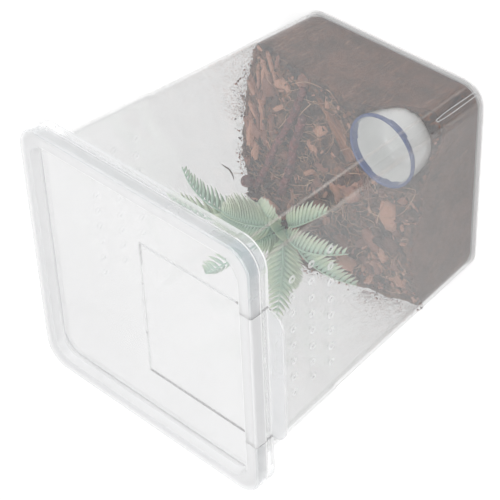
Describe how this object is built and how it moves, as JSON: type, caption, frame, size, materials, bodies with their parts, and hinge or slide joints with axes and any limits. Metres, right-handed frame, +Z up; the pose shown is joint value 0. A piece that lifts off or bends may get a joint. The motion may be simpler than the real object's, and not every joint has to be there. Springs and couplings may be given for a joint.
{
  "type": "plastic pet keeper",
  "caption": "Clear square tub with a press-on lid, hinged feeding flap and vented walls, holding substrate, bark, twigs, a water dish and a fern.",
  "frame": {"origin": "centre of the tub's flat base, on the surface it stands on", "axes": "+Z up towards the lid, -Y towards the feeding flap's grip, +X to the right seen from the grip side"},
  "size_m": [0.2, 0.212, 0.244],
  "materials": {
    "clear_tub": "clear injection-moulded plastic, slightly hazy",
    "clear_lid": "milky clear injection-moulded plastic",
    "substrate": "loose coir and crushed bark, matt",
    "bark": "rough bark",
    "twig": "reddish bark, dull",
    "enamel": "glossy white glaze with a blue rim",
    "fern_stem": "woody, dull",
    "fern_leaf": "soft satin leaf"
  },
  "bodies": {
    "tub": {"tub": "clear_tub", "soil_bed": "substrate", "water_dish": "enamel", "bark_slab": "bark", "twig_1": "twig", "twig_2": "twig", "bark_chip_1": "bark", "bark_chip_2": "bark", "bark_chip_3": "bark", "bark_chip_4": "bark", "bark_chip_5": "bark", "bark_chip_6": "bark", "bark_chip_7": "bark", "fern_stem": "fern_stem", "fern_frond_1": "fern_leaf", "fern_frond_2": "fern_leaf", "fern_frond_3": "fern_leaf", "fern_frond_4": "fern_leaf", "fern_frond_5": "fern_leaf", "fern_frond_6": "fern_leaf", "fern_frond_7": "fern_leaf", "fern_frond_8": "fern_leaf", "fern_frond_9": "fern_leaf", "fern_frond_10": "fern_leaf"},
    "lid": {"lid": "clear_lid", "hinge_film": "clear_lid"},
    "flap": {"feed_flap": "clear_lid"}
  },
  "joints": [
    {"name": "lid_lift", "type": "slide", "parent": "tub", "child": "lid", "axis": [0, 0, 1], "range_m": [0, 0.1]},
    {"name": "flap_hinge", "type": "hinge", "parent": "lid", "child": "flap", "pos_m": [0, 0, 0.2386], "axis": [-1, 0, 0], "range_deg": [0, 120], "deforming": ["hinge_film"]}
  ]
}
